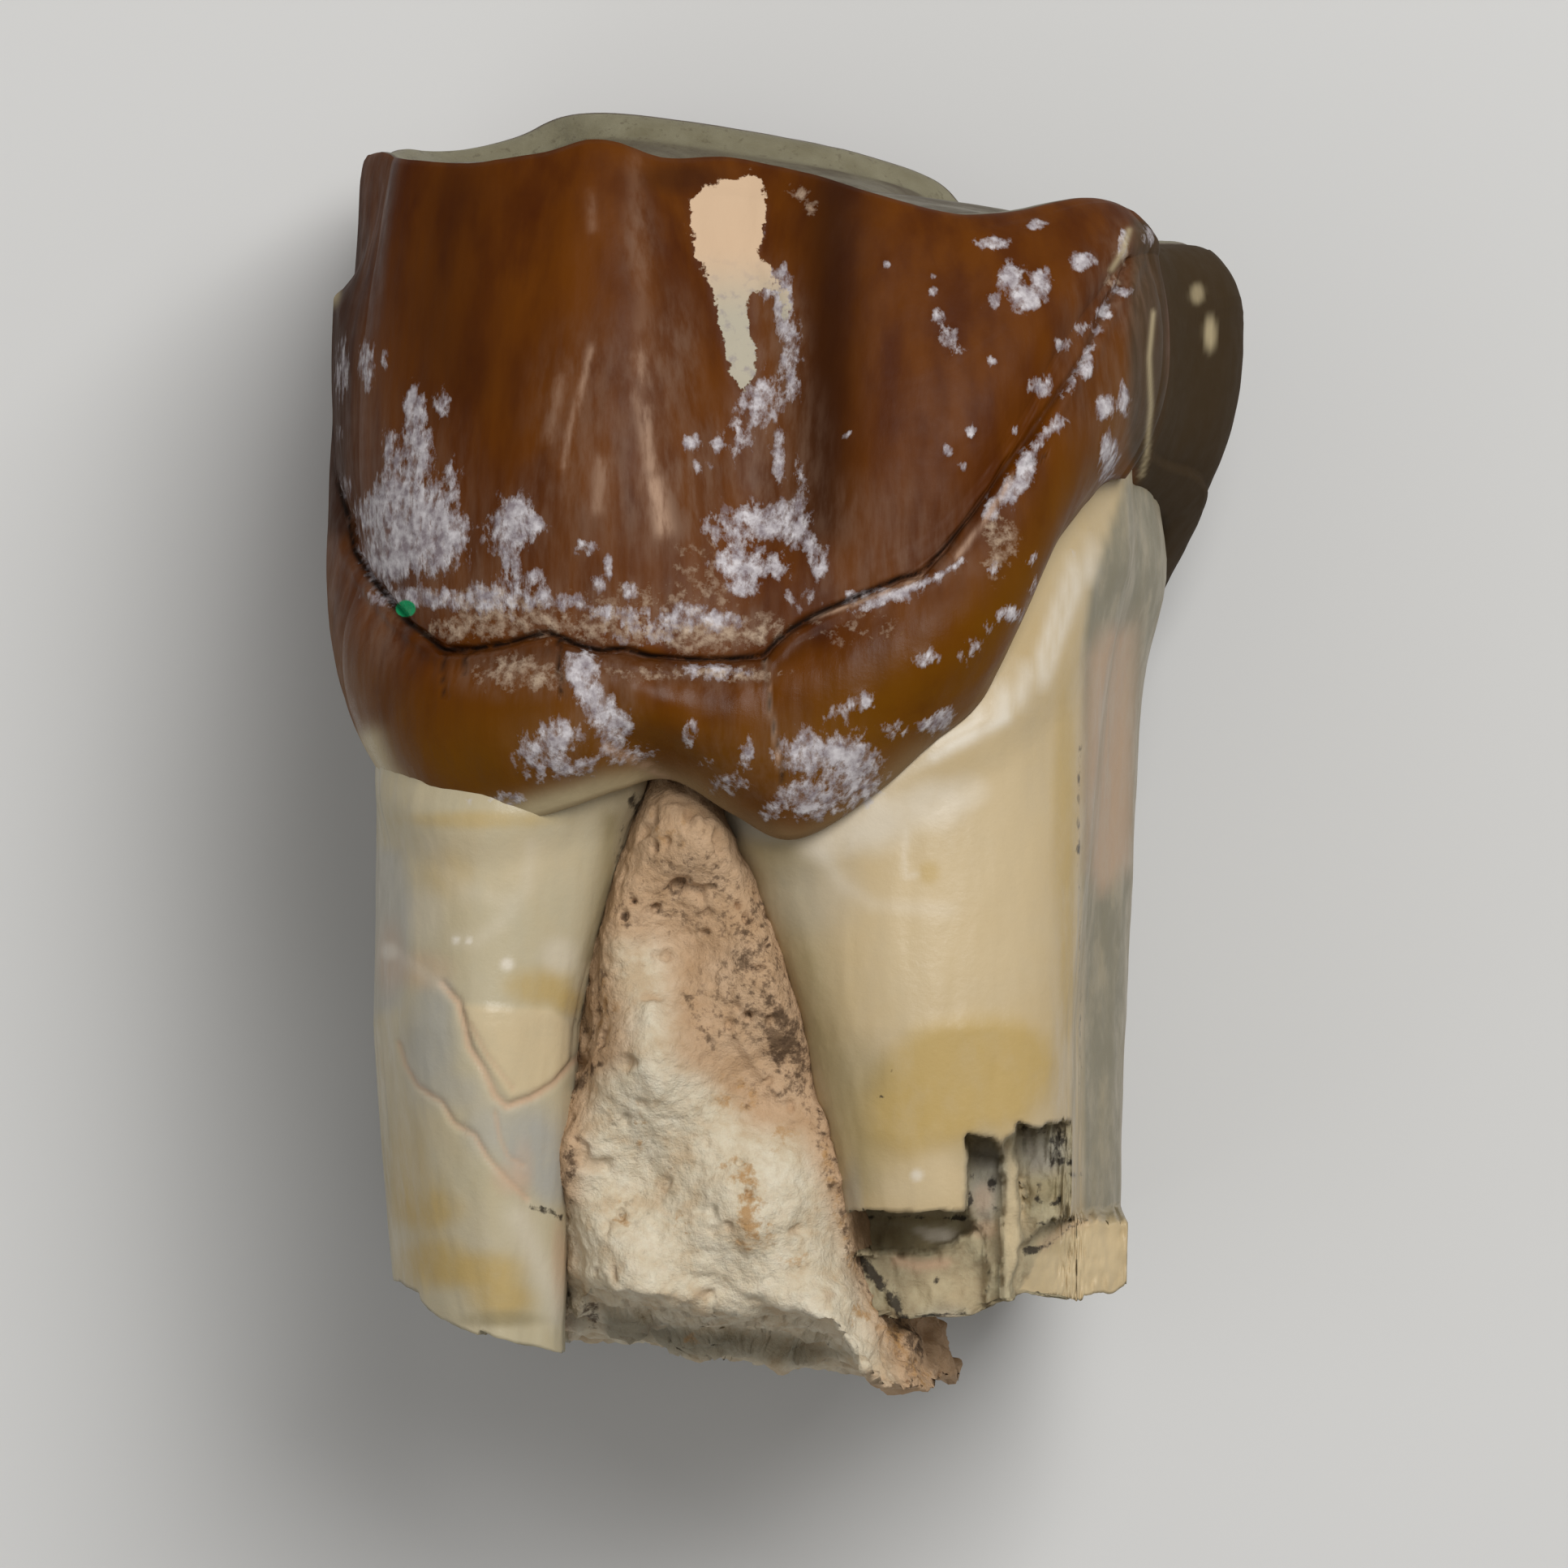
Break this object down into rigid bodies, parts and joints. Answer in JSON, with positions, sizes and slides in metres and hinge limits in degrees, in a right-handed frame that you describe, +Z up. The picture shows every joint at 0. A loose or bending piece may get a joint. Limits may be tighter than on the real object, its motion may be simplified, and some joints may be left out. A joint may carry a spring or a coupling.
{
  "type": "fossil rhino tooth",
  "caption": "Fossil cheek tooth lying on its side: brown enamel crown with a raised ledge round its base, broad broken roots, and a wedge of rock held between them.",
  "frame": {"origin": "middle of the outline seen from above, at the height of the surface that the tooth lies on", "axes": "+Z up out of the tongue side of the tooth, +Y from the broken root ends to the chewing surface, +X to the right when the tongue side is seen with the crown at the top"},
  "size_m": [0.0193, 0.0271, 0.0197],
  "materials": {
    "fossil_tooth": "glossy brown enamel crown over satin cream roots",
    "siltstone": "dull, chalky and pitted"
  },
  "bodies": {
    "root": {"tooth": "fossil_tooth", "rock_wedge": "siltstone"}
  },
  "joints": []
}
